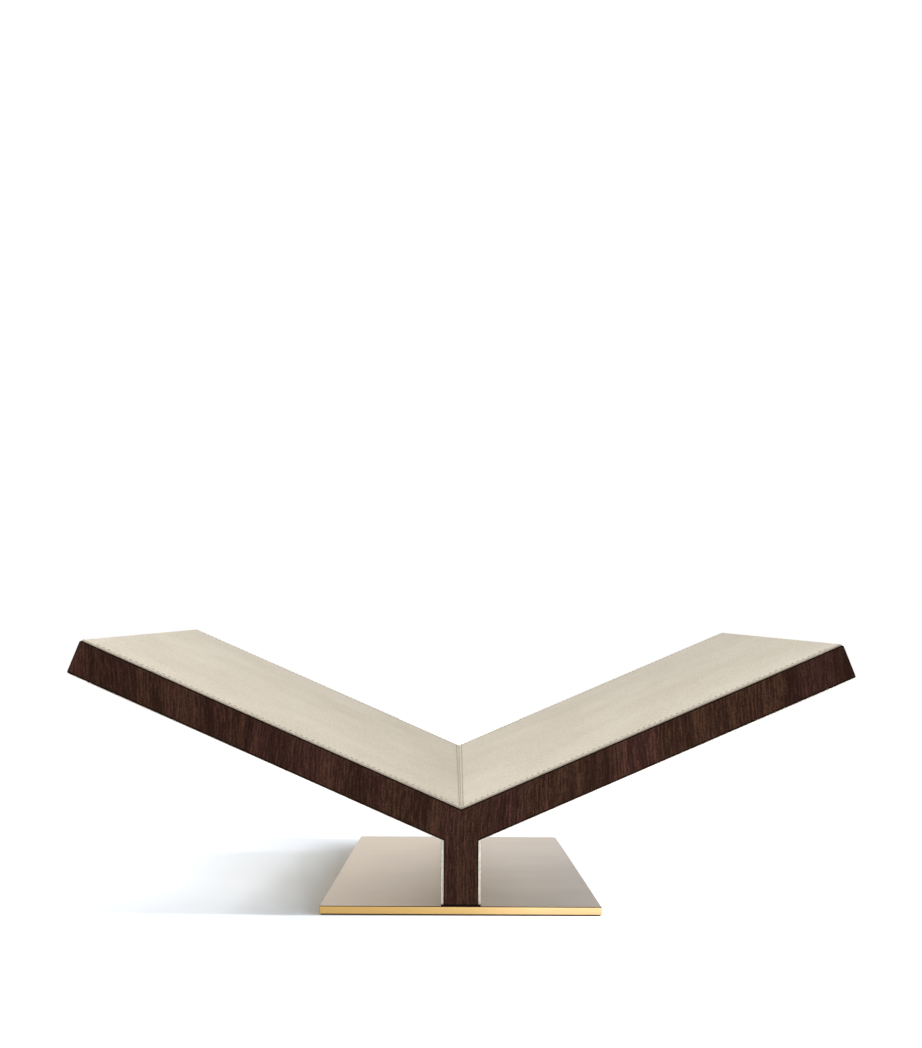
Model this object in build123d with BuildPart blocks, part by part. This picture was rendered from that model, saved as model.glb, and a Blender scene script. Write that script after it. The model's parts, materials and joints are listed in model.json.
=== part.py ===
from build123d import *
from math import cos, radians, sin, tan
import os

# A book stand. Two leather-covered arms make a V on a short stem, which is screwed down to
# a brass plate, and one Y-shaped walnut face closes the front and another the back.
# X runs across the V, +Y to the back and +Z up. The origin is the middle of the underside.

# Form of the body, in millimetres and degrees, as seen from the front
span = 500.0  # over the lower outer corners of the walnut face
depth = 350.0  # over the two walnut faces, and of the plate
valley_height = 64.0  # bottom of the V in the front walnut face
arm_angle = 23.2  # arms above level
end_cut_angle = 3.0  # the arms' ends are this much nearer to plumb than square
rise_angle = 3.5  # the reading surfaces climb this much towards the back
arm_thickness = 21.5
stem_width = 21.5

# Walnut faces
walnut_thickness = 2.0
walnut_corner_radius = 1.0  # the four corners at the arms' ends
walnut_arris = 0.4  # chamfer all round the outer edge

# Leather, and how far it stands proud of the walnut's outline
leather_thickness = 1.5
top_leather_proud = 1.3
under_leather_proud = 0.3
turn_under = 15.0  # the top leather wraps the arm's end and runs this far back below

# Boards under the leather
board_corner_radius = 0.8
dowel_diameter = 6.0
dowel_length = 50.0
dowel_count = 5
dowel_edge_distance = 35.0  # first and last dowel from the boards' edges
dowel_clearance = 0.05
dowel_end_clearance = 0.8
dowel_chamfer = 0.6

# Plate, felt and the dark spacer under the stem
plate_width = 175.0
plate_thickness = 5.0
plate_arris = 0.4
plate_corner_radius = 1.0
felt_thickness = 0.6
felt_setback = 1.0
spacer_thickness = 0.8

# Countersunk screws up through the plate, into threaded inserts in the stem
screw_count = 3
screw_pitch = 120.0
screw_diameter = 5.0
screw_length = 20.0
screw_head_diameter = 9.2
screw_countersink_angle = 90.0
screw_hole_clearance = 0.25
screw_tip_room = 2.0
screw_tip_chamfer = 0.5
hex_key_size = 3.0  # across flats
hex_socket_depth = 1.4
insert_diameter = 8.0
insert_length = 12.0
insert_clearance = 0.05

overrun = 5.0  # how far a cutting shape passes what it cuts

# Levels from the surface that the stand is on
plate_top = felt_thickness + plate_thickness
stem_bottom = plate_top + spacer_thickness

slope = radians(arm_angle)
end_cut = radians(end_cut_angle)
rise = tan(radians(rise_angle))
rise_direction = (0, cos(radians(rise_angle)), sin(radians(rise_angle)))
half_stem = stem_width / 2
arm_length = (span / 2 - arm_thickness * sin(slope)) / cos(slope) + arm_thickness * tan(end_cut)

# Offsets above the top line of an arm: the boards' faces and the leather's
board_top = top_leather_proud - leather_thickness
board_under = leather_thickness - under_leather_proud - arm_thickness
leather_under = -arm_thickness - under_leather_proud
board_end_proud = under_leather_proud - leather_thickness
core_depth = depth - 2 * walnut_thickness
turn_end = arm_length - turn_under
leather_corner_radius = board_corner_radius + leather_thickness
stem_side = half_stem + leather_thickness


def arm_point(along, above):
    """A point in the front view, measured along the right arm's top line and square to it."""
    return (
        along * cos(slope) - above * sin(slope),
        valley_height + along * sin(slope) + above * cos(slope),
    )


def arm_root(above, x):
    """Where a line at this offset from the right arm's top line meets the upright at x."""
    return arm_point(x / cos(slope) + above * tan(slope), above)


def arm_end(above, proud=0):
    """Where such a line meets the arm's end, or the layer that stands proud of the end."""
    return arm_point(arm_length + above * tan(end_cut) + proud / cos(end_cut), above)


def mirrored(points):
    """The same points on the left, in the order that closes an outline."""
    return [(-x, z) for x, z in reversed(points)]


def front_view(behind):
    """The upright plane this far behind the front, raised as the body rises towards the back."""
    return Plane(origin=(0, behind - depth / 2, behind * rise), x_dir=(1, 0, 0), z_dir=(0, -1, 0))


def rising(thickness):
    """The length along the rise that covers this much of the depth."""
    return thickness / rise_direction[1]


# The body rises towards the back, so upright pieces are drawn this low and then cut off level
below_stem = stem_bottom - depth * rise - overrun
stem_cut = Plane.XY.offset(stem_bottom)
core_view = front_view(walnut_thickness)

# Dowels lie level across the stem, midway between the nearest faces of the boards
dowel_reach = dowel_length / 2
dowel_level = (arm_root(board_top, 0)[1] + arm_root(board_under, dowel_reach)[1]) / 2
dowel_pitch = (core_depth - 2 * dowel_edge_distance) / (dowel_count - 1)
dowel_places = []
for number in range(dowel_count):
    behind = walnut_thickness + dowel_edge_distance + number * dowel_pitch
    dowel_places.append(Location((0, behind - depth / 2, dowel_level + behind * rise), (0, 90, 0)))
dowel_hole_radius = dowel_diameter / 2 + dowel_clearance
dowel_hole_length = dowel_length + 2 * dowel_end_clearance


# Walnut faces: one Y-shaped panel in front and one behind, with the grain upright
right_outline = [
    (half_stem, below_stem),
    arm_root(-arm_thickness, half_stem),
    arm_end(-arm_thickness),
    arm_end(0),
]
walnut_outline = [arm_root(0, 0), *mirrored(right_outline), *right_outline]


def walnut_panel(behind):
    """One walnut face, in the space from this depth back."""
    with BuildPart() as panel:
        with BuildSketch(front_view(behind)) as outline:
            with BuildLine():
                Polyline(*walnut_outline, close=True)
            make_face()
            tips = outline.vertices().sort_by(Axis.X)
            fillet(tips[:2] + tips[-2:], walnut_corner_radius)
        extrude(amount=rising(walnut_thickness), dir=rise_direction)
        split(bisect_by=stem_cut, keep=Keep.TOP)
    return panel.part


with BuildPart() as front_walnut_face:
    add(walnut_panel(0))
    chamfer(front_walnut_face.faces().sort_by(Axis.Y)[0].edges(), walnut_arris)

with BuildPart() as back_walnut_face:
    add(walnut_panel(depth - walnut_thickness))
    chamfer(back_walnut_face.faces().sort_by(Axis.Y)[-1].edges(), walnut_arris)


# Stem board: it runs up to the valley, with a V in its top, and carries dowels and inserts
right_half = [
    (half_stem, below_stem),
    arm_root(board_top, half_stem),
]
with BuildPart() as stem_board:
    with BuildSketch(core_view):
        with BuildLine():
            Polyline(arm_root(board_top, 0), *mirrored(right_half), *right_half, close=True)
        make_face()
    extrude(amount=rising(core_depth), dir=rise_direction)
    split(bisect_by=stem_cut, keep=Keep.TOP)
    with Locations(*dowel_places):
        Cylinder(dowel_hole_radius, dowel_hole_length, mode=Mode.SUBTRACT)
    with Locations(stem_cut):
        with GridLocations(0, screw_pitch, 1, screw_count):
            Cylinder(
                insert_diameter / 2 + insert_clearance,
                insert_length,
                align=(Align.CENTER, Align.CENTER, Align.MIN),
                mode=Mode.SUBTRACT,
            )
            Cylinder(
                screw_diameter / 2 + screw_hole_clearance,
                felt_thickness + screw_length + screw_tip_room - stem_bottom,
                align=(Align.CENTER, Align.CENTER, Align.MIN),
                mode=Mode.SUBTRACT,
            )


# Arm boards: each butts against the side of the stem board, with its outer corners eased
with BuildPart() as right_arm_board:
    with BuildSketch(core_view) as outline:
        with BuildLine():
            Polyline(
                arm_root(board_top, half_stem),
                arm_root(board_under, half_stem),
                arm_end(board_under, board_end_proud),
                arm_end(board_top, board_end_proud),
                close=True,
            )
        make_face()
        fillet(outline.vertices().sort_by(Axis.X)[-2:], board_corner_radius)
    extrude(amount=rising(core_depth), dir=rise_direction)
    with Locations(*dowel_places):
        Cylinder(dowel_hole_radius, dowel_hole_length, mode=Mode.SUBTRACT)

with BuildPart() as left_arm_board:
    mirror(right_arm_board.part, about=Plane.YZ)


# Dowels: plain beech pins through the stem board into both arms
with BuildPart() as arm_dowels:
    with Locations(*dowel_places):
        Cylinder(dowel_diameter / 2, dowel_length)
    chamfer(arm_dowels.edges().filter_by(GeomType.CIRCLE), dowel_chamfer)


# Top leathers: from the valley seam along the arm, round its end and a little way back below
with BuildPart() as right_top_leather:
    with BuildSketch(core_view):
        with BuildLine():
            outer = FilletPolyline(
                arm_root(top_leather_proud, 0),
                arm_end(top_leather_proud, under_leather_proud),
                arm_end(leather_under, under_leather_proud),
                arm_point(turn_end, leather_under),
                radius=leather_corner_radius,
            )
            inner = FilletPolyline(
                arm_root(board_top, 0),
                arm_end(board_top, board_end_proud),
                arm_end(board_under, board_end_proud),
                arm_point(turn_end, board_under),
                radius=board_corner_radius,
            )
            Line(outer @ 0, inner @ 0)
            Line(outer @ 1, inner @ 1)
        make_face()
    extrude(amount=rising(core_depth), dir=rise_direction)

with BuildPart() as left_top_leather:
    mirror(right_top_leather.part, about=Plane.YZ)


# Under leathers: from the stem's leather out to where the top leather's turned edge ends
with BuildPart() as right_under_leather:
    with BuildSketch(core_view):
        with BuildLine():
            Polyline(
                arm_root(board_under, stem_side),
                arm_root(leather_under, stem_side),
                arm_point(turn_end, leather_under),
                arm_point(turn_end, board_under),
                close=True,
            )
        make_face()
    extrude(amount=rising(core_depth), dir=rise_direction)

with BuildPart() as left_under_leather:
    mirror(right_under_leather.part, about=Plane.YZ)


# Stem leathers: they stand proud of the walnut on both sides of the stem
with BuildPart() as right_stem_leather:
    with BuildSketch(core_view):
        with BuildLine():
            Polyline(
                (half_stem, below_stem),
                (stem_side, below_stem),
                arm_root(board_under, stem_side),
                arm_root(board_under, half_stem),
                close=True,
            )
        make_face()
    extrude(amount=rising(core_depth), dir=rise_direction)
    split(bisect_by=stem_cut, keep=Keep.TOP)

with BuildPart() as left_stem_leather:
    mirror(right_stem_leather.part, about=Plane.YZ)


# Spacer: a dark strip that lifts the stem off the plate, so the two meet in a shadow line
with BuildPart() as stem_spacer:
    with BuildSketch(Plane.XY.offset(plate_top)):
        Rectangle(2 * stem_side, depth)
        with GridLocations(0, screw_pitch, 1, screw_count):
            Circle(screw_diameter / 2 + screw_hole_clearance, mode=Mode.SUBTRACT)
    extrude(amount=spacer_thickness)


# Base plate: solid brass, countersunk from below
plate_underside = Plane(origin=(0, 0, felt_thickness), x_dir=(1, 0, 0), z_dir=(0, 0, -1))
with BuildPart() as base_plate:
    with BuildSketch(Plane.XY.offset(felt_thickness)):
        RectangleRounded(plate_width, depth, plate_corner_radius)
    extrude(amount=plate_thickness)
    chamfer(base_plate.faces().filter_by(Axis.Z).edges(), plate_arris)
    with Locations(plate_underside):
        with GridLocations(0, screw_pitch, 1, screw_count):
            CounterSinkHole(
                screw_diameter / 2 + screw_hole_clearance,
                screw_head_diameter / 2 + screw_hole_clearance,
                counter_sink_angle=screw_countersink_angle,
            )


# Felt: one sheet glued under the plate, over the screw heads
with BuildPart() as base_felt:
    with BuildSketch():
        RectangleRounded(
            plate_width - 2 * felt_setback,
            depth - 2 * felt_setback,
            plate_corner_radius,
        )
    extrude(amount=felt_thickness)


# Screws: countersunk heads with a hexagon socket, flush with the plate's underside
head_height = (screw_head_diameter - screw_diameter) / 2 / tan(radians(screw_countersink_angle / 2))
hex_corner_radius = hex_key_size / 2 / cos(radians(30))
with BuildPart() as base_screws:
    with BuildSketch(Plane.XZ) as profile:
        with BuildLine():
            Polyline(
                (0, felt_thickness),
                (screw_head_diameter / 2, felt_thickness),
                (screw_diameter / 2, felt_thickness + head_height),
                (screw_diameter / 2, felt_thickness + screw_length - screw_tip_chamfer),
                (screw_diameter / 2 - screw_tip_chamfer, felt_thickness + screw_length),
                (0, felt_thickness + screw_length),
                close=True,
            )
        make_face()
    revolve(axis=Axis.Z)
    with BuildSketch(Plane.XY.offset(felt_thickness)):
        RegularPolygon(hex_corner_radius, side_count=6)
    extrude(amount=hex_socket_depth, mode=Mode.SUBTRACT)
one_screw = base_screws.part
with BuildPart() as base_screws:
    with GridLocations(0, screw_pitch, 1, screw_count):
        add(one_screw)


# Threaded inserts: brass sleeves pressed up into the stem board, around the screws
with BuildPart() as threaded_inserts:
    with BuildSketch(stem_cut):
        with GridLocations(0, screw_pitch, 1, screw_count):
            Circle(insert_diameter / 2)
            Circle(screw_diameter / 2 + insert_clearance, mode=Mode.SUBTRACT)
    extrude(amount=insert_length)


pieces = {
    "front_walnut_face": front_walnut_face,
    "back_walnut_face": back_walnut_face,
    "stem_board": stem_board,
    "left_arm_board": left_arm_board,
    "right_arm_board": right_arm_board,
    "arm_dowels": arm_dowels,
    "left_top_leather": left_top_leather,
    "right_top_leather": right_top_leather,
    "left_under_leather": left_under_leather,
    "right_under_leather": right_under_leather,
    "left_stem_leather": left_stem_leather,
    "right_stem_leather": right_stem_leather,
    "stem_spacer": stem_spacer,
    "base_plate": base_plate,
    "base_felt": base_felt,
    "base_screws": base_screws,
    "threaded_inserts": threaded_inserts,
}
os.makedirs("parts", exist_ok=True)
for name, piece in pieces.items():
    piece.part.label = name
    export_step(piece.part, f"parts/{name}.step")
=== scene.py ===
import json
import math

import bpy
import numpy as np
from mathutils import Matrix, Vector

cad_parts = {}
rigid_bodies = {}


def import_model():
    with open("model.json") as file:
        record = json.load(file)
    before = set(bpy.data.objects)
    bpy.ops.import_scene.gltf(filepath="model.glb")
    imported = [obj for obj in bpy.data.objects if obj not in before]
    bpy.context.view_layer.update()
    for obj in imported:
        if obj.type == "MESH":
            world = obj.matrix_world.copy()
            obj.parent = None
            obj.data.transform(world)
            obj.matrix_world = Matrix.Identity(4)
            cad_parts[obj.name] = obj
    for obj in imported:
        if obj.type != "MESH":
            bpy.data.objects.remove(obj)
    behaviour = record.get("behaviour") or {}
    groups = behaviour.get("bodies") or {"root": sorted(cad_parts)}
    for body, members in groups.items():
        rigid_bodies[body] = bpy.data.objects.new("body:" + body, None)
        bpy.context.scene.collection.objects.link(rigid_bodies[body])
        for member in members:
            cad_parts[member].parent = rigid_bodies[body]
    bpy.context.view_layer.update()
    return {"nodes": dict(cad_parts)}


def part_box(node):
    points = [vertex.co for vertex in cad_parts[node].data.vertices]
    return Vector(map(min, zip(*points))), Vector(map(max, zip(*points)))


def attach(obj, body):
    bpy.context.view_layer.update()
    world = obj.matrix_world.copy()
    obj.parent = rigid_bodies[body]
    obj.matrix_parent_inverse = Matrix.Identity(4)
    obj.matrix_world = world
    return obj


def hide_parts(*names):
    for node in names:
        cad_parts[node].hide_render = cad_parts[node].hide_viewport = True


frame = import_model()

# A book stand: two leather-covered arms in a V on a short stem, closed in front and behind by
# Y-shaped walnut faces and screwed down to a brass plate. Lengths are in metres, and mm is a
# thousandth of one. The sizes of a material's pattern are plain millimetres.
mm = 0.001


# Boards: birch plywood, 20 mm thick, glued up under the leather, which hides them. The plies run
# with each board's faces, and each arm butts against the stem.
def linear(hex_code):
    """An sRGB hex colour as the linear colour that Blender's sockets hold."""
    levels = [int(hex_code[place : place + 2], 16) / 255 for place in (1, 3, 5)]
    return [
        level / 12.92 if level <= 0.04045 else ((level + 0.055) / 1.055) ** 2.4 for level in levels
    ] + [1.0]


def wire(tree, made, inputs):
    """Sets a node's inputs, given by name or number, or links them to other nodes' outputs."""
    for socket, value in inputs.items():
        if isinstance(value, bpy.types.NodeSocket):
            tree.links.new(value, made.inputs[socket])
        else:
            made.inputs[socket].default_value = value


def node(tree, kind, inputs=None, stops=(), **options):
    """Adds a node with its options and inputs, and a colour ramp's stops, each a share and a hex
    colour. Sockets that share a name go by number: a Mix node's numbers are inputs 2 and 3 and
    output 0, and its colours are inputs 6 and 7 and output 2."""
    made = tree.nodes.new(kind)
    for option, value in options.items():
        setattr(made, option, value)
    wire(tree, made, inputs or {})
    if stops:
        marks = made.color_ramp.elements
        marks[0].position, marks[-1].position = stops[0][0], stops[-1][0]
        for share, hex_code in stops[1:-1]:
            marks.new(share)
        for mark, (share, hex_code) in zip(marks, stops):
            mark.color = linear(hex_code)
    return made


def surface(name, **constants):
    """Makes a material with these constants on its shader. Returns it with its node tree, its
    shader and the socket that holds each point's place on the piece, in mm."""
    material = bpy.data.materials.new(name)
    material.use_nodes = True
    tree = material.node_tree
    shader = tree.nodes["Principled BSDF"]
    wire(tree, shader, {socket.replace("_", " "): value for socket, value in constants.items()})
    place = node(tree, "ShaderNodeTexCoord").outputs["Object"]
    in_mm = node(tree, "ShaderNodeVectorMath", {0: place, "Scale": 1 / mm}, operation="SCALE")
    return material, tree, shader, in_mm.outputs["Vector"]


def finish(name, material):
    """Gives a node of the frame its material, in every slot that it has."""
    piece = frame["nodes"][name]
    if not piece.material_slots:
        piece.data.materials.append(material)
    for place in piece.material_slots:
        place.material = material


arm_angle = 23.2  # degrees above level
one_band = 2 * math.pi / 20  # the scale at which a wave's bands lie 1 mm apart


def birch_plywood(name, tilt):
    """Sawn birch plywood, pale, with darker glue lines between plies that tilt by this angle."""
    ply = 1.4  # mm
    material, tree, shader, place = surface(name, Roughness=0.7)
    level = node(
        tree,
        "ShaderNodeVectorRotate",
        {"Vector": place, "Angle": math.radians(tilt)},
        rotation_type="Y_AXIS",
    ).outputs["Vector"]
    plies = node(
        tree,
        "ShaderNodeTexWave",
        {"Vector": level, "Scale": one_band / ply, "Distortion": 0.4},
        bands_direction="Z",
    ).outputs["Fac"]
    # Flecks of 12 mm along the ply and 0.4 mm through it
    fibres = node(tree, "ShaderNodeMapping", {"Vector": level, "Scale": (0.08, 0.08, 2.5)})
    fleck = node(
        tree, "ShaderNodeTexNoise", {"Vector": fibres.outputs["Vector"], "Scale": 1.0, "Detail": 4.0}
    ).outputs["Fac"]
    tone = node(tree, "ShaderNodeMath", {0: plies, 1: 0.35, 2: fleck}, operation="MULTIPLY_ADD")
    birch = node(
        tree,
        "ShaderNodeValToRGB",
        {"Fac": tone.outputs["Value"]},
        [(0.3, "#a9875c"), (0.5, "#d3b98f"), (0.9, "#e2cda6")],
    )
    bump = node(tree, "ShaderNodeBump", {"Height": fleck, "Strength": 0.3, "Distance": 0.1 * mm})
    wire(tree, shader, {"Base Color": birch.outputs["Color"], "Normal": bump.outputs["Normal"]})
    return material


finish("stem_board", birch_plywood("birch_plywood_upright", 90))
finish("left_arm_board", birch_plywood("birch_plywood_left", -arm_angle))
finish("right_arm_board", birch_plywood("birch_plywood_right", arm_angle))


# Dowels: plain turned beech pins, 6 mm, glued in to tie both arms to the stem. Beech is a pale
# pink brown, here with flecks 8 mm long and 0.6 mm wide along the grain.
material, tree, shader, place = surface("turned_beech", Roughness=0.6)
along = node(tree, "ShaderNodeMapping", {"Vector": place, "Scale": (0.12, 1.6, 1.6)})
fleck = node(
    tree, "ShaderNodeTexNoise", {"Vector": along.outputs["Vector"], "Scale": 1.0, "Detail": 5.0}
)
beech = node(
    tree,
    "ShaderNodeValToRGB",
    {"Fac": fleck.outputs["Fac"]},
    [(0.35, "#a97f55"), (0.5, "#cfa97c"), (0.7, "#ddbf97")],
)
wire(tree, shader, {"Base Color": beech.outputs["Color"]})
finish("arm_dowels", material)


# Threaded inserts: turned brass sleeves, 8 mm, pressed up into the stem board round the screws.
# The tool left fine rings, six to a millimetre.
material, tree, shader, place = surface("turned_brass", Metallic=1.0, Roughness=0.3)
rings = node(tree, "ShaderNodeMapping", {"Vector": place, "Scale": (0.0, 0.0, 6.0)})
ring = node(
    tree, "ShaderNodeTexNoise", {"Vector": rings.outputs["Vector"], "Scale": 1.0, "Detail": 2.0}
).outputs["Fac"]
brass = node(tree, "ShaderNodeValToRGB", {"Fac": ring}, [(0.3, "#b8924e"), (0.7, "#dcbb78")])
bump = node(tree, "ShaderNodeBump", {"Height": ring, "Strength": 0.4, "Distance": 0.05 * mm})
wire(tree, shader, {"Base Color": brass.outputs["Color"], "Normal": bump.outputs["Normal"]})
finish("threaded_inserts", material)


# Leathers: cream calf, 1.5 mm, printed with a fine pebble grain and glued down to the boards. The
# grain is a little uneven in height and colour. Painted shade darkens its edges, seam and holes.
def layered(tree, start, *layers):
    """A start plus a share of each of these layers."""
    total = start
    for layer, share in layers:
        total = node(
            tree, "ShaderNodeMath", {0: layer, 1: share, 2: total}, operation="MULTIPLY_ADD"
        ).outputs["Value"]
    return total


def calf_leather():
    """Matt, with pebbles that the light just catches and a mottled, faintly cloudy colour."""
    pebble = 1.1  # mm, a little coarser than the real grain, so that it shows
    mottle = 2.6  # mm
    cloud = 60.0  # mm
    material, tree, shader, place = surface(
        "printed_calf_leather", Roughness=0.7, Specular_IOR_Level=0.3
    )
    cells = node(
        tree,
        "ShaderNodeTexVoronoi",
        {"Vector": place, "Scale": 1 / pebble, "Randomness": 1.0},
        feature="F1",
    ).outputs["Distance"]
    fine, broad, clouds = [
        node(
            tree, "ShaderNodeTexNoise", {"Vector": place, "Scale": 1 / size, "Detail": 3.0}
        ).outputs["Fac"]
        for size in (pebble, mottle, cloud)
    ]
    height = layered(tree, fine, (cells, -0.8), (broad, 0.8))
    bump = node(tree, "ShaderNodeBump", {"Height": height, "Strength": 0.9, "Distance": 0.16 * mm})
    hide = node(
        tree,
        "ShaderNodeValToRGB",
        {"Fac": layered(tree, 0.0, (broad, 0.25), (fine, 0.75), (clouds, 0.3))},
        [(0.55, "#d8cdba"), (0.65, "#e4dac8"), (0.75, "#ede4d3")],
    ).outputs["Color"]
    # Painted shade: the colour is mixed towards dark brown by the shade painted on each point
    painted_shade = node(
        tree, "ShaderNodeAttribute", attribute_name="painted_shade", attribute_type="GEOMETRY"
    ).outputs["Fac"]
    painted_shading = node(
        tree, "ShaderNodeMix", {"Factor": painted_shade, 6: hide, 7: linear("#8d7d66")}, data_type="RGBA"
    )
    wire(tree, shader, {"Base Color": painted_shading.outputs[2], "Normal": bump.outputs["Normal"]})
    return material


leather = calf_leather()
leather_thickness = 1.5 * mm
top_leather_proud = 1.3 * mm
under_leather_proud = 0.3 * mm
under_leather_sag = 0.75 * mm  # how far the sheet under an arm hangs below the walnut
turn_under = 15 * mm
corner_radius = 2.3 * mm
arm_thickness = 21.5 * mm
half_stem = 10.75 * mm
half_span = 250 * mm
valley_height = 64 * mm
walnut_thickness = 2 * mm
stem_bottom = 6.4 * mm
slope = math.radians(arm_angle)
end_cut = math.radians(3)
rise = math.tan(math.radians(3.5))  # of the reading surfaces towards the back
front_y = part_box("front_walnut_face")[0].y
depth = -2 * front_y
arm_length = (half_span - arm_thickness * math.sin(slope)) / math.cos(slope)
arm_length += arm_thickness * math.tan(end_cut)
board_top = top_leather_proud - leather_thickness
board_under = leather_thickness - under_leather_proud - arm_thickness
leather_under = -arm_thickness - under_leather_sag
board_end_proud = under_leather_proud - leather_thickness
stem_side = half_stem + leather_thickness
turn_end = arm_length - turn_under
leather_front = front_y + walnut_thickness
leather_depth = depth - 2 * walnut_thickness
stitch_pitch = 3.85 * mm
stitch_setback = 4.1 * mm  # of each row from the leather's edge
plain_step = 12 * mm  # between points across a sheet that has no detail away from its edges


def arm_point(along, above):
    """A point in the front view, measured along the right arm's top line and square to it."""
    return (
        along * math.cos(slope) - above * math.sin(slope),
        valley_height + along * math.sin(slope) + above * math.cos(slope),
    )


def arm_root(above, x):
    """Where a line at this offset from the arm's top line meets the upright at x."""
    return arm_point(x / math.cos(slope) + above * math.tan(slope), above)


def arm_end(above, proud):
    """Where such a line meets the layer that stands this proud of the arm's end."""
    return arm_point(arm_length + above * math.tan(end_cut) + proud / math.cos(end_cut), above)


def rounded_line(corners, radius, runs, arc_steps=6):
    """Points along a line with rounded corners. Each straight run gets a number of equal steps, or
    a list of the points' distances from where it starts."""
    corners = [np.array(corner) for corner in corners]
    points = []
    start = corners[0]
    for number, spaced in enumerate(runs):
        corner = corners[number + 1]
        before = (corner - corners[number]) / np.linalg.norm(corner - corners[number])
        last = number == len(runs) - 1
        if last:
            end = corner
        else:
            after = (corners[number + 2] - corner) / np.linalg.norm(corners[number + 2] - corner)
            turn = math.acos(float(np.clip(before @ after, -1, 1)))
            reach = radius * math.tan(turn / 2)
            end = corner - before * reach
        if isinstance(spaced, int):
            spaced = np.arange(spaced) * np.linalg.norm(end - start) / spaced
        for distance in spaced:
            points.append(start + before * distance)
        if last:
            points.append(end)
        else:
            inward = after - before * (before @ after)
            inward /= np.linalg.norm(inward)
            centre = end + inward * radius
            for step in range(arc_steps):
                angle = turn * step / arc_steps
                spoke = before * math.sin(angle) - inward * math.cos(angle)
                points.append(centre + radius * spoke)
            start = corner + after * reach
    return np.array(points)


def rounding(distance, radius):
    """How far a rounded edge has dropped at this distance from it."""
    inside = np.clip(radius - distance, 0, radius)
    return radius - np.sqrt(radius**2 - inside**2)


def hollow(distance, place, width):
    """1 at the middle of a groove, falling to 0 about its width away."""
    return np.exp(-(((distance - place) / width) ** 2))


def holes(distance, start):
    """1 at each of a row's needle holes, which lie a pitch apart, and 0 half way between them."""
    return 0.5 + 0.5 * np.cos(2 * math.pi * (distance - start) / stitch_pitch)


def stitched_run(length):
    """Distances along a run of this length: two to each stitch, so that the holes are among them."""
    return np.arange(0, length - 0.3 * stitch_pitch, stitch_pitch / 2)


def depth_stations(step):
    """Distances from the leather's front edge, close together at the edges and their rows."""
    near = [0, 0.04, 0.12, 0.25, 0.45, 0.75, 1.1, 1.6, 2.2, 2.8, 3.3, 3.7, 4.1, 4.5, 4.9, 5.5, 6.4]
    near = np.array(near) * mm
    first = math.ceil((near[-1] + 0.4 * step) / step)
    middle = np.arange(first * step, leather_depth - first * step + 0.01 * step, step)
    return np.concatenate([near, middle, leather_depth - near[::-1]])


def leather_piece(name, section, radii, runs, stations, drop, side):
    """A closed sheet of leather, on the right for side 1 and on the left for side -1. The outer
    and inner line of its section are drawn at the front and the back, and drop gives how far the
    outer face is lowered and how much painted shade darkens it."""
    drawn = [
        [rounded_line(line, radius, runs) for line, radius in zip(section(behind), radii)]
        for behind in (walnut_thickness, depth - walnut_thickness)
    ]
    (front_outer, front_inner), (back_outer, back_inner) = drawn
    share = (stations / leather_depth)[None, :, None]
    outer = front_outer[:, None] * (1 - share) + back_outer[:, None] * share
    inner = front_inner[:, None] * (1 - share) + back_inner[:, None] * share
    steps = np.linalg.norm(np.diff(front_outer, axis=0), axis=1)
    run = np.concatenate([[0], np.cumsum(steps)])
    lowered, painted_shade = drop(run, stations)
    outer = outer + (inner - outer) * np.clip(lowered / leather_thickness, 0, 1)[..., None]
    rows, columns = outer.shape[:2]
    across = np.broadcast_to(leather_front + stations, (rows, columns))
    outer = np.dstack([outer[..., 0] * side, across, outer[..., 1]])
    inner = np.dstack([inner[..., 0] * side, across, inner[..., 1]])

    # The outer face is a grid of quads. The inner one has points only below the rim.
    number = np.arange(rows * columns).reshape(rows, columns)
    quads = np.stack([number[:-1, :-1], number[1:, :-1], number[1:, 1:], number[:-1, 1:]], axis=-1)
    faces = quads.reshape(-1, 4).tolist()
    rim = [*number[:, 0], *number[-1, 1:], *number[-2::-1, -1], *number[0, -2:0:-1]]
    below = {point: rows * columns + place for place, point in enumerate(rim)}
    for point, after in zip(rim, rim[1:] + rim[:1]):
        faces.append([after, point, below[point], below[after]])
    for row in range(rows - 1):
        near = number[row] if row == 0 else number[row, [0, -1]]
        far = number[row + 1] if row == rows - 2 else number[row + 1, [0, -1]]
        faces.append([below[point] for point in (*far[::-1], *near)])
    if side < 0:
        faces = [face[::-1] for face in faces]
    points = np.concatenate([outer.reshape(-1, 3), inner.reshape(-1, 3)[rim]])

    mesh = bpy.data.meshes.new(name)
    mesh.from_pydata(points.tolist(), [], [[int(point) for point in face] for face in faces])
    # Painted shade: how far each point's colour is darkened
    painted_shading = mesh.attributes.new("painted_shade", "FLOAT", "POINT")
    painted_shade = painted_shade.ravel()
    painted_shading.data.foreach_set("value", np.concatenate([painted_shade, painted_shade[rim]]).astype(np.float32))
    mesh.materials.append(leather)
    mesh.polygons.foreach_set("use_smooth", [True] * len(mesh.polygons))
    mesh.validate()
    mesh.update()
    mesh.set_sharp_from_angle(angle=math.radians(50))
    piece = bpy.data.objects.new(name, mesh)
    bpy.context.scene.collection.objects.link(piece)
    return piece


def edge_rows(edge_radius):
    """The drop of a sheet with a row of stitches by its front and by its back edge. The edges are
    rounded, and the rows lie in grooves that are deepest at the needle's holes, where painted shade
    also darkens them."""
    groove_depth, groove_width = 0.2 * mm, 0.8 * mm
    # How dark the painted shade at each needle hole is, and how wide
    mark, hole_shade_width = 0.5, 0.4 * mm

    def drop(run, stations):
        edge = np.minimum(stations, leather_depth - stations)[None, :]
        hole = holes(run, 0)[:, None]
        groove = hollow(edge, stitch_setback, groove_width) * (0.7 + 0.3 * hole)
        painted_shade = mark * hollow(edge, stitch_setback, hole_shade_width) * hole
        return rounding(edge, edge_radius) + groove_depth * groove, painted_shade

    return drop


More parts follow.
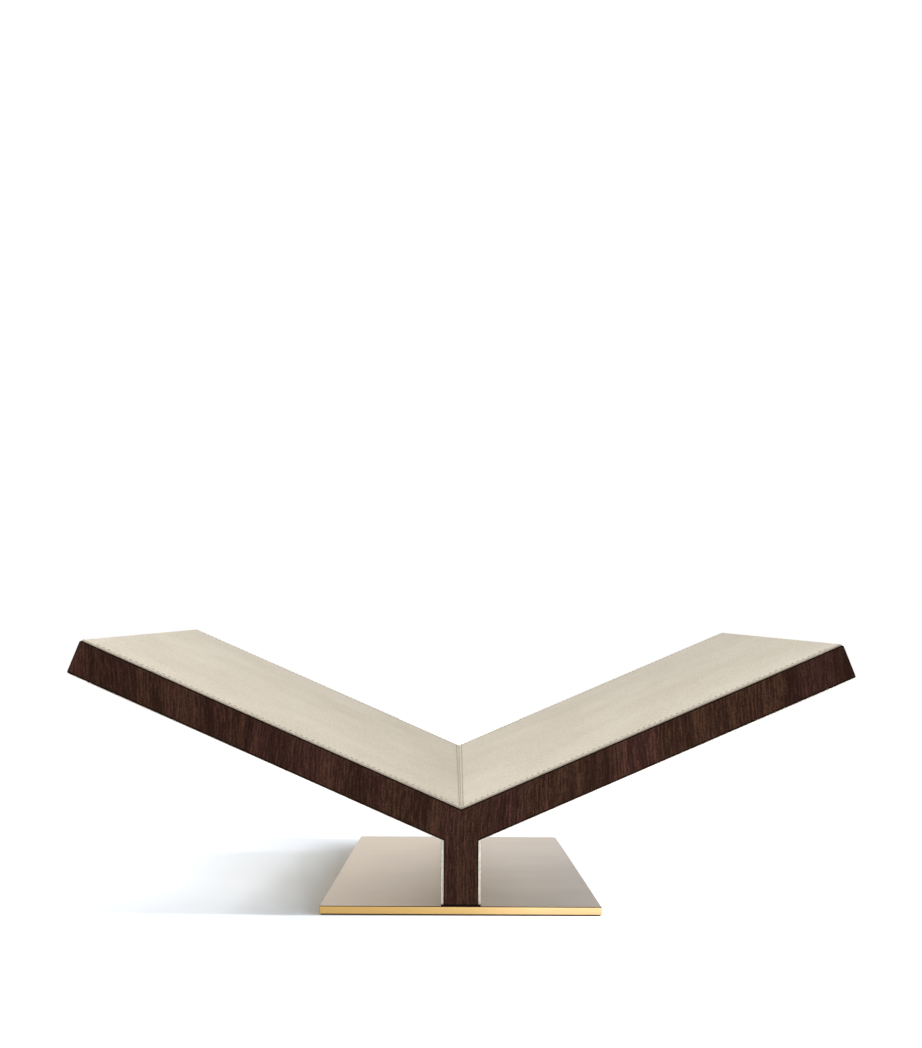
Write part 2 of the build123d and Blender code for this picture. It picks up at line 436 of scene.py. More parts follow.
# Stem leathers: a strip glued to each side of the stem, from the spacer on the plate up to the
# arm. It is proud of the walnut by its own thickness.
def stem_section(behind):
    lift = behind * rise
    top = arm_root(board_under, stem_side)[1] + lift
    inner_top = arm_root(board_under, half_stem)[1] + lift
    outer = [(stem_side, top), (stem_side, stem_bottom)]
    inner = [(half_stem, inner_top), (half_stem, stem_bottom)]
    return outer, inner


stem_height = arm_root(board_under, half_stem)[1] - stem_bottom
for name, side in (("left", -1), ("right", 1)):
    piece = leather_piece(
        f"{name}_stem_cover",
        stem_section,
        (0, 0),
        [stitched_run(stem_height)],
        depth_stations(plain_step),
        edge_rows(1.4 * mm),
        side,
    )
    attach(piece, "root")
    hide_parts(f"{name}_stem_leather")


# Under leathers: one sheet glued under each arm, from the stem's leather to the turned edge of the
# top leather near the arm's end. Its front edge shows as a light line below the walnut.
def under_section(behind):
    lift = np.array((0, behind * rise))
    outer = [arm_point(turn_end, leather_under) + lift, arm_root(leather_under, stem_side) + lift]
    inner = [arm_point(turn_end, board_under) + lift, arm_root(board_under, stem_side) + lift]
    return outer, inner


under_start = stem_side / math.cos(slope) + leather_under * math.tan(slope)
under_length = turn_end - under_start
for name, side in (("left", -1), ("right", 1)):
    piece = leather_piece(
        f"{name}_under_cover",
        under_section,
        (0, 0),
        [stitched_run(under_length)],
        depth_stations(plain_step),
        edge_rows(0.1 * mm),
        side,
    )
    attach(piece, "root")
    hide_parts(f"{name}_under_leather")


# Top leathers: one sheet over each arm, from the seam in the valley, round the arm's end and a
# little way back below. Rows of stitches pull a groove into it, and its edges roll over.
def top_section(behind):
    lift = np.array((0, behind * rise))
    outer = [
        arm_root(top_leather_proud, 0),
        arm_end(top_leather_proud, under_leather_proud),
        arm_end(leather_under, under_leather_proud),
        arm_point(turn_end, leather_under),
    ]
    inner = [
        arm_root(board_top, 0),
        arm_end(board_top, board_end_proud),
        arm_end(board_under, board_end_proud),
        arm_point(turn_end, board_under),
    ]
    return [np.array(point) + lift for point in outer], [np.array(point) + lift for point in inner]


row_start = 5 * mm  # from the seam to the first hole
arm_stitches = 65
row_end = row_start + arm_stitches * stitch_pitch

# Distances from the seam: close together by it and its stitches, then two to each stitch
seam_run = [0, 0.06, 0.15, 0.3, 0.5, 0.8, 1.1, 1.4, 1.7, 2.0, 2.3, 2.6, 3.0, 3.5, 4.2]
row_run = np.arange(row_start, row_end + 0.1 * stitch_pitch, stitch_pitch / 2)
top_run = np.concatenate([np.array(seam_run) * mm, row_run])
end_steps, turned_steps = 10, 8  # over the arm's end, and along the part turned under


def seam_setback(behind):
    """How far the seam's rows of stitches lie from it. They part a little towards the back."""
    front, back = 1.75 * mm, 3.0 * mm
    return front + (back - front) * behind / depth


def top_rows(side):
    """The drop of a top leather: rolled edges, a seam, a groove under each row of stitches, and a
    field between them that is pulled down a little and not quite flat. On the right arm a wrinkle
    runs in from the front corner, where the hide was pulled round it."""
    roll_radius, seam_radius = 1.3 * mm, 0.25 * mm
    groove_depth, groove_width = 0.3 * mm, 0.9 * mm
    seam_groove_depth, seam_groove_width = 0.05 * mm, 0.6 * mm
    field_depth, field_wave, field_margin = 0.12 * mm, 0.05 * mm, 8 * mm
    wave_along, wave_across = 17 * mm, 23 * mm  # to each radian
    wrinkle_height, wrinkle_width = 0.45 * mm, 2 * mm
    wrinkle_place, wrinkle_reach = 20 * mm, 10 * mm  # behind the front edge
    rows_fade = 0.5 * mm  # past the last hole

    def drop(run, stations):
        run = run[:, None]
        from_front = stations[None, :]
        from_back = leather_depth - from_front
        edge = np.minimum(from_front, from_back)
        setback = seam_setback(from_front)
        on_top = 1 / (1 + np.exp((run - row_end) / rows_fade))
        arm_holes = holes(run, row_start)
        seam_holes = holes(from_front, 0)

        lowered = rounding(edge, roll_radius) + rounding(run, seam_radius)
        groove = hollow(edge, stitch_setback, groove_width) * on_top
        lowered = lowered + groove_depth * groove * (0.6 + 0.4 * arm_holes)
        seam_groove = hollow(run, setback, seam_groove_width)
        lowered = lowered + seam_groove_depth * seam_groove * (0.6 + 0.4 * seam_holes)
        wave = np.sin(run / wave_along) * np.sin(from_front / wave_across + 1)
        field = 1 - hollow(edge, 0, field_margin)
        lowered = lowered + (field_depth + field_wave * wave) * field
        if side > 0:
            from_corner = arm_length - run
            wrinkle = hollow(from_corner - from_front, 0, wrinkle_width)
            wrinkle = wrinkle * hollow(from_front, wrinkle_place, wrinkle_reach)
            lowered = lowered - wrinkle_height * wrinkle

        # Painted shade darkens the hide at the front edge, a little at the back edge, in the seam
        # and at the needle's holes
        painted_shade = 0.42 * hollow(from_front, 0, 1.0 * mm) + 0.08 * hollow(from_back, 0, 1.0 * mm)
        painted_shade = painted_shade + 0.4 * hollow(run, 0, 0.3 * mm)
        painted_shade = painted_shade + 0.6 * hollow(edge, stitch_setback, 0.45 * mm) * on_top * arm_holes
        painted_shade = painted_shade + 0.12 * hollow(run, setback, 0.4 * mm) * seam_holes
        return lowered, np.clip(painted_shade, 0, 1)

    return drop


for name, side in (("left", -1), ("right", 1)):
    piece = leather_piece(
        f"{name}_reading_cover",
        top_section,
        (corner_radius, corner_radius - leather_thickness),
        [top_run, end_steps, turned_steps],
        depth_stations(stitch_pitch / 2),
        top_rows(side),
        side,
    )
    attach(piece, "root")
    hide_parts(f"{name}_top_leather")


# Stitches: waxed linen thread in a saddle stitch, 3.85 mm a stitch. One row follows each front and
# back edge of the leather, and two hold down the seam in the valley.
def stitch_rows():
    """A node tree that lays one slanted stitch at every pitch along the rows that it is given."""
    tree = bpy.data.node_groups.new("stitch_rows", "GeometryNodeTree")
    tree.interface.new_socket("Rows", in_out="INPUT", socket_type="NodeSocketGeometry")
    tree.interface.new_socket("Stitches", in_out="OUTPUT", socket_type="NodeSocketGeometry")
    for size in ("Pitch", "Stitch Length", "Thread Thickness", "Crown", "Slant"):
        tree.interface.new_socket(size, in_out="INPUT", socket_type="NodeSocketFloat")
    tree.interface.new_socket("Seed", in_out="INPUT", socket_type="NodeSocketInt")
    tree.interface.new_socket("Thread", in_out="INPUT", socket_type="NodeSocketMaterial")
    given = node(tree, "NodeGroupInput").outputs
    rows = node(tree, "GeometryNodeMeshToCurve", {"Mesh": given["Rows"]})
    spaced = node(
        tree,
        "GeometryNodeResampleCurve",
        {"Curve": rows.outputs["Curve"], "Length": given["Pitch"]},
        mode="LENGTH",
    )

    # Each stitch lies along its row and bulges outward. Its slant and size vary a little: a random
    # number lies between inputs 2 and 3, and a random vector between inputs 0 and 1.
    along = node(tree, "GeometryNodeInputTangent")
    outward = node(
        tree, "GeometryNodeInputNamedAttribute", {"Name": "outward"}, data_type="FLOAT_VECTOR"
    )
    turned = node(
        tree, "FunctionNodeAlignRotationToVector", {"Vector": along.outputs["Tangent"]}, axis="X"
    )
    upright = node(
        tree,
        "FunctionNodeAlignRotationToVector",
        {"Rotation": turned.outputs["Rotation"], "Vector": outward.outputs["Attribute"]},
        axis="Z",
        pivot_axis="X",
    )
    uneven = node(
        tree, "FunctionNodeRandomValue", {2: 0.7, 3: 1.3, "Seed": given["Seed"]}, data_type="FLOAT"
    )
    stretch = node(
        tree,
        "FunctionNodeRandomValue",
        {0: (0.94, 0.92, 0.9), 1: (1.04, 1.08, 1.1), "Seed": given["Seed"]},
        data_type="FLOAT_VECTOR",
    )
    slant = node(
        tree, "ShaderNodeMath", {0: given["Slant"], 1: uneven.outputs[1]}, operation="MULTIPLY"
    )
    lean = node(tree, "ShaderNodeCombineXYZ", {"Z": slant.outputs["Value"]})
    leaning = node(tree, "FunctionNodeEulerToRotation", {"Euler": lean.outputs["Vector"]})
    placed = node(
        tree,
        "FunctionNodeRotateRotation",
        {"Rotation": upright.outputs["Rotation"], "Rotate By": leaning.outputs["Rotation"]},
        rotation_space="LOCAL",
    )

    # A bowed strand, whose ends go down into the needle's holes
    thread = given["Thread Thickness"]
    half = node(tree, "ShaderNodeMath", {0: given["Stitch Length"], 1: 0.5}, operation="MULTIPLY")
    sunk = node(tree, "ShaderNodeMath", {0: thread, 1: -0.7}, operation="MULTIPLY")
    ends = []
    for way in (-1, 1):
        reach = node(
            tree, "ShaderNodeMath", {0: half.outputs["Value"], 1: way}, operation="MULTIPLY"
        ).outputs["Value"]
        end = node(tree, "ShaderNodeCombineXYZ", {"X": reach, "Z": sunk.outputs["Value"]})
        ends.append(end.outputs["Vector"])
    crown = node(tree, "ShaderNodeCombineXYZ", {"Z": given["Crown"]}).outputs["Vector"]
    bow = node(
        tree,
        "GeometryNodeCurveQuadraticBezier",
        {"Resolution": 5, "Start": ends[0], "Middle": crown, "End": ends[1]},
    )
    radius = node(tree, "ShaderNodeMath", {0: thread, 1: 0.5}, operation="MULTIPLY")
    strand = node(
        tree,
        "GeometryNodeCurvePrimitiveCircle",
        {"Resolution": 6, "Radius": radius.outputs["Value"]},
    )
    stitch = node(
        tree,
        "GeometryNodeCurveToMesh",
        {"Curve": bow.outputs["Curve"], "Profile Curve": strand.outputs["Curve"], "Fill Caps": True},
    )
    laid = node(
        tree,
        "GeometryNodeInstanceOnPoints",
        {
            "Points": spaced.outputs["Curve"],
            "Instance": stitch.outputs["Mesh"],
            "Rotation": placed.outputs["Rotation"],
            "Scale": stretch.outputs[0],
        },
    )
    whole = node(tree, "GeometryNodeRealizeInstances", {"Geometry": laid.outputs["Instances"]})
    threaded = node(
        tree,
        "GeometryNodeSetMaterial",
        {"Geometry": whole.outputs["Geometry"], "Material": given["Thread"]},
    )
    node(tree, "NodeGroupOutput", {"Stitches": threaded.outputs["Geometry"]})
    return tree


def linen_thread():
    """Two plies twist round each other, which gives the thread a fine slanting ridge."""
    ply = 0.7  # mm along the thread, a little coarser than the real twist, so that it shows
    material, tree, shader, place = surface(
        "waxed_linen_thread", Roughness=0.55, Specular_IOR_Level=0.35
    )
    twist = node(
        tree,
        "ShaderNodeTexWave",
        {"Vector": place, "Scale": one_band / ply, "Distortion": 1.0, "Detail": 1.0},
        bands_direction="DIAGONAL",
    ).outputs["Fac"]
    linen = node(tree, "ShaderNodeValToRGB", {"Fac": twist}, [(0.1, "#9a917d"), (0.9, "#c4baa5")])
    bump = node(tree, "ShaderNodeBump", {"Height": twist, "Strength": 0.5, "Distance": 0.08 * mm})
    wire(tree, shader, {"Base Color": linen.outputs["Color"], "Normal": bump.outputs["Normal"]})
    return material


def in_place(side, point, behind, climb=rise):
    """Where a point of the section lies in the frame, on this side and this far behind the front,
    when its line climbs towards the back."""
    x, z = point
    return (x * side, front_y + behind, z + behind * climb)


top_bed, side_bed = 0.35 * mm, 0.2 * mm  # how deep a row's thread lies in the leather
stitches_front = walnut_thickness + stitch_setback
seam_front = walnut_thickness + 0.5 * stitch_pitch
rows = []
for side in (-1, 1):
    up = (-math.sin(slope) * side, -rise, math.cos(slope))
    down = [-level for level in up]
    for behind in (stitches_front, depth - stitches_front):
        ends = [
            arm_point(along, top_leather_proud - top_bed)
            for along in (row_start + 0.5 * stitch_pitch, row_end - 0.48 * stitch_pitch)
        ]
        rows.append(([in_place(side, end, behind) for end in ends], up))
        ends = [
            arm_point(along, leather_under + side_bed)
            for along in (under_start + 0.5 * stitch_pitch, turn_end - 0.9 * stitch_pitch)
        ]
        rows.append(([in_place(side, end, behind) for end in ends], down))
        x = stem_side - side_bed
        high = (x, arm_root(leather_under, stem_side)[1] - 0.6 * stitch_pitch)
        low = (x, stem_bottom + 0.5 * stitch_pitch)
        ends = [in_place(side, high, behind), in_place(side, low, behind, climb=0)]
        rows.append((ends, (side, 0, 0)))
    ends = [
        in_place(side, arm_point(seam_setback(behind), top_leather_proud - top_bed), behind)
        for behind in (seam_front, depth - seam_front)
    ]
    rows.append((ends, up))

mesh = bpy.data.meshes.new("stitch_rows")
edges = [(2 * number, 2 * number + 1) for number in range(len(rows))]
mesh.from_pydata([end for ends, outward in rows for end in ends], edges, [])
directions = mesh.attributes.new("outward", "FLOAT_VECTOR", "POINT")
at_both_ends = [level for ends, outward in rows for level in 2 * list(outward)]
directions.data.foreach_set("vector", at_both_ends)
stitches = bpy.data.objects.new("edge_stitches", mesh)
bpy.context.scene.collection.objects.link(stitches)
sewing = stitches.modifiers.new("sewing", "NODES")
sewing.node_group = stitch_rows()
sizes = {
    "Pitch": stitch_pitch,
    "Stitch Length": 2.8 * mm,
    "Thread Thickness": 0.7 * mm,
    "Crown": 1.1 * mm,
    "Slant": math.radians(7),
    "Seed": 5,
    "Thread": linen_thread(),
}
for item in sewing.node_group.interface.items_tree:
    if item.name in sizes:
        sewing[item.identifier] = sizes[item.name]
sewn = stitches.evaluated_get(bpy.context.evaluated_depsgraph_get())
mesh = bpy.data.meshes.new_from_object(sewn)
stitches.modifiers.clear()
stitches.data = mesh
mesh.polygons.foreach_set("use_smooth", [True] * len(mesh.polygons))
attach(stitches, "root")


# Walnut faces: 2 mm sawn walnut with upright grain, glued on and oiled dark. The cut edges and the
# rim beside them are drawn almost black.
def oiled_walnut():
    """Soft bands and streaks, with fibres and open pores, all long and upright."""

    # Sizes across the grain, in mm. Fibres and pores are coarser than the real ones, so that they
    # show. A distance through the sheet counts a twentieth, so that the grain hardly changes there.
    band, streak, ring, fibre, pore = 16.0, 4.5, 2.4, 0.95, 0.75
    warm_patch = 22.0
    through = 1 / 20
    sway = 16.0  # from side to side at the most, over some 60 mm of grain
    material, tree, shader, place = surface("oiled_walnut", Specular_IOR_Level=0.05)
    wander = node(
        tree, "ShaderNodeMapping", {"Vector": place, "Scale": (1 / 60, through, 1 / 70)}
    ).outputs["Vector"]
    bend = node(tree, "ShaderNodeTexNoise", {"Vector": wander, "Scale": 1.0, "Detail": 1.0})
    shift = node(tree, "ShaderNodeMath", {0: bend.outputs["Fac"], 1: 0.5}, operation="SUBTRACT")
    aside = node(tree, "ShaderNodeCombineXYZ", {"X": shift.outputs["Value"]})
    swayed = node(
        tree,
        "ShaderNodeVectorMath",
        {0: aside.outputs["Vector"], 1: (sway, 0, 0), 2: place},
        operation="MULTIPLY_ADD",
    ).outputs["Vector"]

    def grain(across, along, detail, seed):
        """Noise stretched along the upright grain, with this size across and along it."""
        stretched = node(
            tree,
            "ShaderNodeMapping",
            {
                "Vector": swayed,
                "Location": (seed, seed, seed),
                "Scale": (1 / across, through, 1 / along),
            },
        ).outputs["Vector"]
        return node(
            tree,
            "ShaderNodeTexNoise",
            {"Vector": stretched, "Scale": 1.0, "Detail": detail, "Roughness": 0.55},
        ).outputs["Fac"]

    fibres = grain(fibre, 8, 3.0, 31)
    squeezed = node(
        tree, "ShaderNodeMapping", {"Vector": swayed, "Scale": (1, through, 1 / 12)}
    ).outputs["Vector"]
    rings = node(
        tree,
        "ShaderNodeTexWave",
        {
            "Vector": squeezed,
            "Scale": one_band / ring,
            "Distortion": 5.0,
            "Detail": 3.0,
            "Detail Scale": 0.8,
        },
    ).outputs["Fac"]
    layers = [
        (grain(band, 300, 2.0, 3), 0.6),
        (grain(streak, 60, 2.0, 17), 0.6),
        (fibres, 0.9),
        (rings, 0.1),
        (grain(pore, 1.3, 1.0, 83), 0.55),
    ]
    middle = 0.5 - 0.5 * sum(share for layer, share in layers)
    tone = layered(tree, middle, *layers)
    brown = node(
        tree,
        "ShaderNodeValToRGB",
        {"Fac": tone},
        [(0.25, "#26130a"), (0.4, "#2e1a10"), (0.5, "#352117"), (0.6, "#40291d"), (0.75, "#4e3324")],
    ).outputs["Color"]
    red = node(
        tree,
        "ShaderNodeValToRGB",
        {"Fac": tone},
        [(0.25, "#27130c"), (0.5, "#38201a"), (0.75, "#513329")],
    ).outputs["Color"]
    warmth = node(
        tree,
        "ShaderNodeMapRange",
        {"Value": grain(warm_patch, 240, 1.0, 61), "From Min": 0.45, "From Max": 0.65},
    ).outputs["Result"]
    wood = node(
        tree, "ShaderNodeMix", {"Factor": warmth, 6: brown, 7: red}, data_type="RGBA"
    ).outputs[2]
    pores = node(
        tree,
        "ShaderNodeMapRange",
        {
            "Value": grain(pore, 7, 1.0, 47),
            "From Min": 0.6,
            "From Max": 0.72,
            "To Min": 0.0,
            "To Max": 0.6,
        },
    ).outputs["Result"]
    pored = node(
        tree, "ShaderNodeMix", {"Factor": pores, 6: wood, 7: linear("#1a0e08")}, data_type="RGBA"
    ).outputs[2]

    # Cut edges don't face the front or the back
    normal = node(tree, "ShaderNodeNewGeometry").outputs["True Normal"]
    facing = node(tree, "ShaderNodeSeparateXYZ", {0: normal})
    level = node(tree, "ShaderNodeMath", {0: facing.outputs["Y"]}, operation="ABSOLUTE")
    cut = node(
        tree, "ShaderNodeMath", {0: level.outputs["Value"], 1: 0.9}, operation="LESS_THAN"
    ).outputs["Value"]

    # The rim: how far a point lies inside each side of the Y, less the width that is drawn black
    # there.
    # The left half is folded over on to the right one. Each side has its way in, the distance from
    # it in to the frame's origin, and that width.
    across = node(tree, "ShaderNodeSeparateXYZ", {0: place}).outputs
    half = node(tree, "ShaderNodeMath", {0: across["X"]}, operation="ABSOLUTE").outputs["Value"]
    folded = node(
        tree, "ShaderNodeCombineXYZ", {"X": half, "Y": across["Y"], "Z": across["Z"]}
    ).outputs["Vector"]
    above = Vector((-math.sin(slope), -rise * math.cos(slope), math.cos(slope)))
    along = Vector((math.cos(slope), -rise * math.sin(slope), math.sin(slope)))
    beyond = along * math.cos(end_cut) - above * math.sin(end_cut)
    valley = Vector((0, front_y, valley_height))
    sides = {
        "top": (-above, above @ valley, 0.75 * mm),
        "end": (-beyond, beyond @ valley + arm_length * math.cos(end_cut), 0.9 * mm),
        "under": (above, arm_thickness - above @ valley, 1.2 * mm),
        "stem": (Vector((-1, 0, 0)), half_stem, 0.9 * mm),
    }
    inside = {}
    for side, (inward, to_origin, width) in sides.items():
        reach = node(
            tree, "ShaderNodeVectorMath", {0: folded, 1: inward}, operation="DOT_PRODUCT"
        ).outputs["Value"]
        inside[side] = node(
            tree, "ShaderNodeMath", {0: reach, 1: (to_origin - width) / mm}, operation="ADD"
        ).outputs["Value"]
    lower = node(
        tree, "ShaderNodeMath", {0: inside["under"], 1: inside["stem"]}, operation="MAXIMUM"
    ).outputs["Value"]
    upper = node(
        tree, "ShaderNodeMath", {0: inside["top"], 1: inside["end"]}, operation="MINIMUM"
    ).outputs["Value"]
    margin = node(
        tree, "ShaderNodeMath", {0: lower, 1: upper}, operation="MINIMUM"
    ).outputs["Value"]
    # The cut edges and the rim beside them are drawn almost black
    rim_dark = node(
        tree, "ShaderNodeMapRange", {"Value": margin, "From Min": 0.0, "From Max": -0.4}
    ).outputs["Result"]
    edge_dark = node(
        tree, "ShaderNodeMath", {0: rim_dark, 1: cut}, operation="MAXIMUM"
    ).outputs["Value"]
    blackened = node(
        tree, "ShaderNodeMix", {"Factor": edge_dark, 6: pored, 7: linear("#1b0b04")}, data_type="RGBA"
    )
    rough = node(tree, "ShaderNodeMix", {"Factor": edge_dark, 2: 0.5, 3: 0.9}, data_type="FLOAT")
    bump = node(
        tree,
        "ShaderNodeBump",
        {"Height": layered(tree, fibres, (pores, -1.0)), "Strength": 0.4, "Distance": 0.08 * mm},
    )
    wire(
        tree,
        shader,
        {
            "Base Color": blackened.outputs[2],
            "Roughness": rough.outputs[0],
            "Normal": bump.outputs["Normal"],
        },
    )
    return material


walnut = oiled_walnut()
for name in ("front_walnut_face", "back_walnut_face"):
    finish(name, walnut)


# Spacer: a fibre strip, 0.8 mm, that lifts the stem off the plate so that they meet in a shadow
# line.
# Its near-black colour is painted shadow. Its surface is matt, with faint specks of 0.7 mm.
material, tree, shader, place = surface("fibre_strip_painted_shadow", Roughness=0.9, Specular_IOR_Level=0.1)
speck = node(tree, "ShaderNodeTexNoise", {"Vector": place, "Scale": 1.5, "Detail": 4.0})
fibre = node(
    tree, "ShaderNodeValToRGB", {"Fac": speck.outputs["Fac"]}, [(0.3, "#0b0605"), (0.7, "#170f0c")]
)
wire(tree, shader, {"Base Color": fibre.outputs["Color"]})
finish("stem_spacer", material)


# Base plate: solid brass, 5 mm, screwed to the stem from below. The top is brushed satin, which
# scatters what it mirrors, the edges are polished, and the eased arris between them is painted
# dark brown, a painted dark reflection.
def brushed_brass():
    """Brushed from side to side. Painted shade darkens the satin top towards the front right, and a
    painted highlight pales the polished edges towards the right.
    """
    scratch = 0.5  # mm between brush lines, coarser than the real ones, so that they show
    cloud = 60.0  # mm
    to_right, to_front = 320.0, 690.0  # mm over which the painted shade and highlight drift through their whole range
    material, tree, shader, place = surface("brushed_brass", Metallic=1.0)
    lines = node(
        tree, "ShaderNodeMapping", {"Vector": place, "Scale": (0.01, 1 / scratch, 1 / scratch)}
    ).outputs["Vector"]
    brush = node(
        tree, "ShaderNodeTexNoise", {"Vector": lines, "Scale": 1.0, "Detail": 3.0}
    ).outputs["Fac"]
    clouds = node(
        tree, "ShaderNodeTexNoise", {"Vector": place, "Scale": 1 / cloud, "Detail": 2.0}
    ).outputs["Fac"]

    # The top faces straight up, the arris half way up, and the edges sideways
    normal = node(tree, "ShaderNodeNewGeometry").outputs["True Normal"]
    facing = node(tree, "ShaderNodeSeparateXYZ", {0: normal}).outputs["Z"]
    level = node(tree, "ShaderNodeMath", {0: facing}, operation="ABSOLUTE").outputs["Value"]
    edge = node(
        tree, "ShaderNodeMath", {0: level, 1: 0.9}, operation="LESS_THAN"
    ).outputs["Value"]
    eased = node(
        tree, "ShaderNodeMath", {0: level, 1: 0.7, 2: 0.1}, operation="COMPARE"
    ).outputs["Value"]
    # Painted light: a slope that darkens the satin top towards the front right, painted shade, and
    # pales the polished edges towards the right, a painted highlight. Soft clouds add a random tone.
    painted_light_drift = node(
        tree,
        "ShaderNodeVectorMath",
        {0: place, 1: (1 / to_right, -1 / to_front, 0)},
        operation="DOT_PRODUCT",
    ).outputs["Value"]
    clouds_and_painted_light = layered(tree, 0.2, (painted_light_drift, 1.0), (clouds, 0.3))
    satin = node(
        tree,
        "ShaderNodeValToRGB",
        {"Fac": clouds_and_painted_light},
        [(0.05, "#cfbea8"), (0.4, "#c0b2a3"), (0.8, "#9c938a")],
    ).outputs["Color"]
    polished = node(
        tree,
        "ShaderNodeValToRGB",
        {"Fac": clouds_and_painted_light},
        [(0.35, "#cca360"), (0.6, "#cea869"), (0.72, "#d0ad7a"), (0.85, "#cca374")],
    ).outputs["Color"]
    metal = node(
        tree, "ShaderNodeMix", {"Factor": edge, 6: satin, 7: polished}, data_type="RGBA"
    ).outputs[2]
    # The eased arris is painted dark brown, a painted dark reflection
    painted_dark_arris = node(
        tree, "ShaderNodeMix", {"Factor": eased, 6: metal, 7: linear("#3d2c17")}, data_type="RGBA"
    )
    rough = node(
        tree,
        "ShaderNodeMapRange",
        {"Value": brush, "From Min": 0.3, "From Max": 0.7, "To Min": 0.3, "To Max": 0.4},
    ).outputs["Result"]
    smooth = node(tree, "ShaderNodeMix", {"Factor": edge, 2: rough, 3: 0.14}, data_type="FLOAT")
    bump = node(tree, "ShaderNodeBump", {"Height": brush, "Strength": 0.15, "Distance": 0.02 * mm})
    wire(
        tree,
        shader,
        {
            "Base Color": painted_dark_arris.outputs[2],
            "Roughness": smooth.outputs[0],
            "Normal": bump.outputs["Normal"],
        },
    )
    return material


finish("base_plate", brushed_brass())


# Screws: countersunk M5 hexagon socket screws of zinc-plated steel, up through the plate. The
# plating is slightly blotched, every millimetre or so.
material, tree, shader, place = surface("zinc_plated_steel", Metallic=1.0, Roughness=0.35)
blotch = node(tree, "ShaderNodeTexNoise", {"Vector": place, "Scale": 0.8, "Detail": 3.0})
zinc = node(
    tree, "ShaderNodeValToRGB", {"Fac": blotch.outputs["Fac"]}, [(0.3, "#9b9ea3"), (0.7, "#c3c5c6")]
)
wire(tree, shader, {"Base Color": zinc.outputs["Color"]})
finish("base_screws", material)


# Felt: brown wool felt, 0.6 mm, glued under the plate over the screw heads. Short fibres lie in
# all directions, in tufts of 0.8 mm, coarser than the real ones, so that they show.
material, tree, shader, place = surface("pressed_wool_felt", Roughness=0.95)
fibre = node(
    tree,
    "ShaderNodeTexNoise",
    {"Vector": place, "Scale": 1.2, "Detail": 6.0, "Distortion": 1.5},
).outputs["Fac"]
wool = node(
    tree,
    "ShaderNodeValToRGB",
    {"Fac": fibre},
    [(0.3, "#43382f"), (0.5, "#54483d"), (0.75, "#67594b")],
)
bump = node(tree, "ShaderNodeBump", {"Height": fibre, "Strength": 0.8, "Distance": 0.3 * mm})
wire(tree, shader, {"Base Color": wool.outputs["Color"], "Normal": bump.outputs["Normal"]})
finish("base_felt", material)


# Studio: a white floor and surround, a tall strip on the right and a soft box high on the left.
# Two small lamps reach the stand alone, and five reach the floor alone and keep its shadow soft
# and to the left. The camera stands low in front.
def looked_at(tree):
    """1 where the camera, a reflection or a look through glass meets a surface, and 0 for light."""
    path = node(tree, "ShaderNodeLightPath").outputs
    seen = path["Is Camera Ray"]
    for ray in ("Is Glossy Ray", "Is Transmission Ray"):
        seen = node(
            tree, "ShaderNodeMath", {0: seen, 1: path[ray]}, operation="MAXIMUM"
        ).outputs["Value"]
    return seen


bpy.context.scene.view_settings.view_transform = "Standard"
world_light = 0.25
world = bpy.data.worlds.new("studio")
bpy.context.scene.world = world
world.use_nodes = True
tree = world.node_tree
strength = node(
    tree, "ShaderNodeMapRange", {"Value": looked_at(tree), "To Min": world_light, "To Max": 1.0}
).outputs["Result"]
wire(tree, tree.nodes["Background"], {"Color": (1, 1, 1, 1), "Strength": strength})

# The floor is a little cool, which the warm light off the stand makes neutral in the shadow. From
# 300 to 900 mm away it fades to plain white, so that it has no edge.
floor_half = 4.0
floor_colour = (0.855, 0.9, 0.965, 1)
floor_corners = [(-1, -1), (1, -1), (1, 1), (-1, 1)]
mesh = bpy.data.meshes.new("floor")
mesh.from_pydata([(x * floor_half, y * floor_half, 0) for x, y in floor_corners], [], [(0, 1, 2, 3)])
floor = bpy.data.objects.new("floor", mesh)
bpy.context.scene.collection.objects.link(floor)
material, tree, shader, place = surface(
    "white_floor",
    Base_Color=floor_colour,
    Roughness=1.0,
    Specular_IOR_Level=0.0,
    Emission_Color=(1, 1, 1, 1),
)
away = node(tree, "ShaderNodeVectorMath", {0: place}, operation="LENGTH").outputs["Value"]
fade = node(
    tree,
    "ShaderNodeMapRange",
    {"Value": away, "From Min": 300.0, "From Max": 900.0},
    interpolation_type="SMOOTHSTEP",
).outputs["Result"]
glow = node(tree, "ShaderNodeMath", {0: fade, 1: looked_at(tree)}, operation="MULTIPLY")
wire(tree, shader, {"Emission Strength": glow.outputs["Value"]})
mesh.materials.append(material)
floor_alone = bpy.data.collections.new("floor_alone")
floor_alone.objects.link(floor)
stand_alone = bpy.data.collections.new("stand_alone")
for piece in list(bpy.context.scene.objects):
    if piece.type == "MESH" and piece is not floor:
        stand_alone.objects.link(piece)


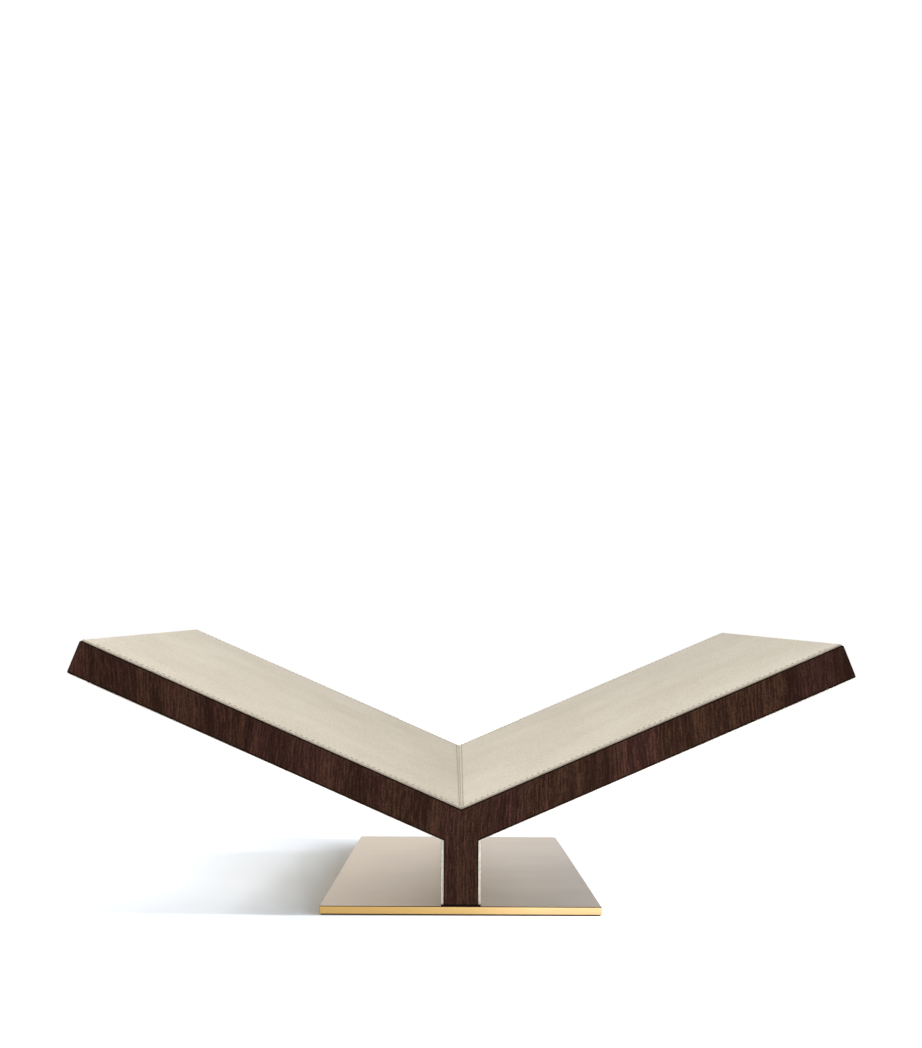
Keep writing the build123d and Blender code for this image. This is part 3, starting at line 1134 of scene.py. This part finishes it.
def soft_box(name, place, target, size, power, lights=None):
    """A rectangular lamp at a place, turned to its target, for everything or for some pieces."""
    lamp = bpy.data.lights.new(name, "AREA")
    lamp.shape = "RECTANGLE"
    lamp.size, lamp.size_y = size
    lamp.energy = power
    holder = bpy.data.objects.new(name, lamp)
    bpy.context.scene.collection.objects.link(holder)
    holder.location = place
    holder.rotation_euler = (Vector(target) - Vector(place)).to_track_quat("-Z", "Y").to_euler()
    holder.visible_camera = False
    if lights:
        holder.light_linking.receiver_collection = lights
    return holder


# The brass doesn't mirror the strip, which would draw a hard line on it
strip = soft_box("right_strip", (1.6, -0.175, 0.7), (0, -0.175, 0.05), (0.12, 1.3), 8.6)
strip.visible_glossy = False
soft_box("left_box", (-0.8, 0, 1.3), (0, 0, 0.1), (0.8, 0.8), 8.1)
soft_box("near_box", (-0.15, -0.5, 0.7), (0, -0.1, 0.1), (0.25, 0.25), 1.4, stand_alone)
soft_box("left_low", (-1.2, -0.25, 0.1), (0, -0.1, 0.06), (0.3, 0.15), 1.8, stand_alone)
soft_box("floor_strip", (1.6, -0.175, 0.7), (0, -0.175, 0.05), (0.08, 1.3), 38, floor_alone)
soft_box("floor_left", (-1.043, 0.2, 1.149), (-0.1, 0, 0), (0.25, 0.25), 10, floor_alone)
soft_box("floor_back", (-0.1, 0.75, 1.3), (-0.1, 0, 0), (0.25, 0.25), 3.6, floor_alone)
soft_box("floor_right", (0.9, -1.1, 0.35), (0, -0.1, 0), (0.25, 0.25), 6, floor_alone)
front = soft_box("floor_front", (0.16, -0.27, 0.14), (0.1, -0.23, 0), (0.1, 0.1), 0.16, floor_alone)
front.data.spread = math.radians(100)

# The frame is taller than it is wide, so the sensor's width lies along its height
camera_place = (-5.77 * mm, -963.0 * mm, 142.84 * mm)
camera_up, camera_right, camera_roll = 7.317, 0.328, 0.339  # degrees
focal_pixels = 1235.81
photo_height = 1048  # pixels
camera = bpy.data.cameras.new("camera")
camera.sensor_width = 36
camera.lens = focal_pixels / photo_height * camera.sensor_width
viewer = bpy.data.objects.new("camera", camera)
bpy.context.scene.collection.objects.link(viewer)
viewer.matrix_world = (
    Matrix.Translation(camera_place)
    @ Matrix.Rotation(math.radians(-camera_right), 4, "Z")
    @ Matrix.Rotation(math.radians(90 + camera_up), 4, "X")
    @ Matrix.Rotation(math.radians(camera_roll), 4, "Z")
)
bpy.context.scene.camera = viewer
